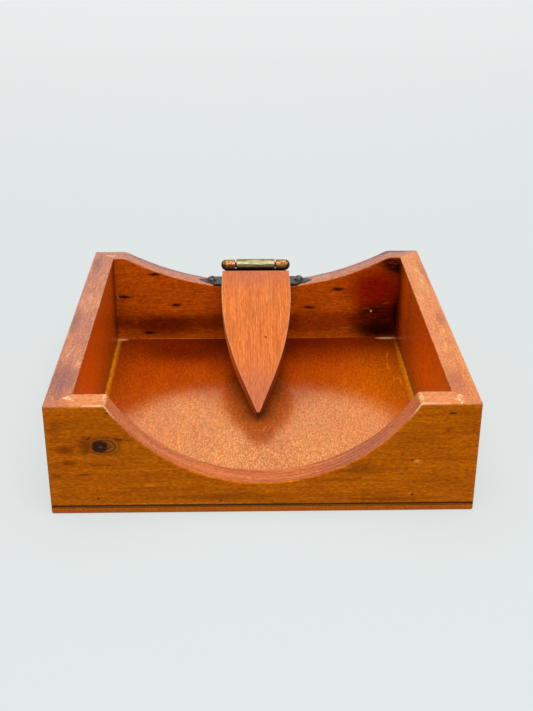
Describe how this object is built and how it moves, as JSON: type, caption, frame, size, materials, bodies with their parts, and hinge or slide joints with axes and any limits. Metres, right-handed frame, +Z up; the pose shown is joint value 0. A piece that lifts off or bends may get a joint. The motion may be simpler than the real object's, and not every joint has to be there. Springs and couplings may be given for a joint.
{
  "type": "flat napkin holder",
  "caption": "Flat wooden tray that holds folded paper napkins, with scooped front and back boards and a pointed press arm on an offset hinge that weighs the napkins down.",
  "frame": {"origin": "centre of the underside of the bottom panel", "axes": "+Z up; +Y from the deep-scooped front board to the back board that carries the hinge; +X to the right seen from the front"},
  "size_m": [0.2032, 0.2064, 0.0587],
  "materials": {
    "stained_pine": "amber stain under glossy varnish",
    "stained_pine_arm": "amber stain under glossy varnish",
    "stained_plywood": "amber stain under glossy varnish",
    "black_leaf": "worn black enamel",
    "antique_brass": "antique, brushed",
    "dark_steel": "oil blackened",
    "black_screw": "black enamel",
    "bright_steel": "drawn wire"
  },
  "bodies": {
    "tray": {"front_board": "stained_pine", "back_board": "stained_pine", "left_side_board": "stained_pine", "right_side_board": "stained_pine", "bottom_panel": "stained_plywood", "hinge_base_leaf": "black_leaf", "hinge_pin": "dark_steel", "base_leaf_screw_left": "black_screw", "base_leaf_screw_right": "black_screw", "bottom_brads_front": "bright_steel", "bottom_brads_back": "bright_steel", "bottom_brads_left": "bright_steel", "bottom_brads_right": "bright_steel", "front_left_corner_brads": "bright_steel", "front_right_corner_brads": "bright_steel", "back_left_corner_brads": "bright_steel", "back_right_corner_brads": "bright_steel"},
    "arm": {"press_arm": "stained_pine_arm", "hinge_arm_leaf": "antique_brass", "arm_leaf_screw_left": "dark_steel", "arm_leaf_screw_right": "dark_steel"}
  },
  "joints": [
    {"name": "arm_hinge", "type": "hinge", "parent": "tray", "child": "arm", "pos_m": [-0.001, 0.09495, 0.0525], "axis": [-1, 0, 0], "range_deg": [0, 180]}
  ]
}
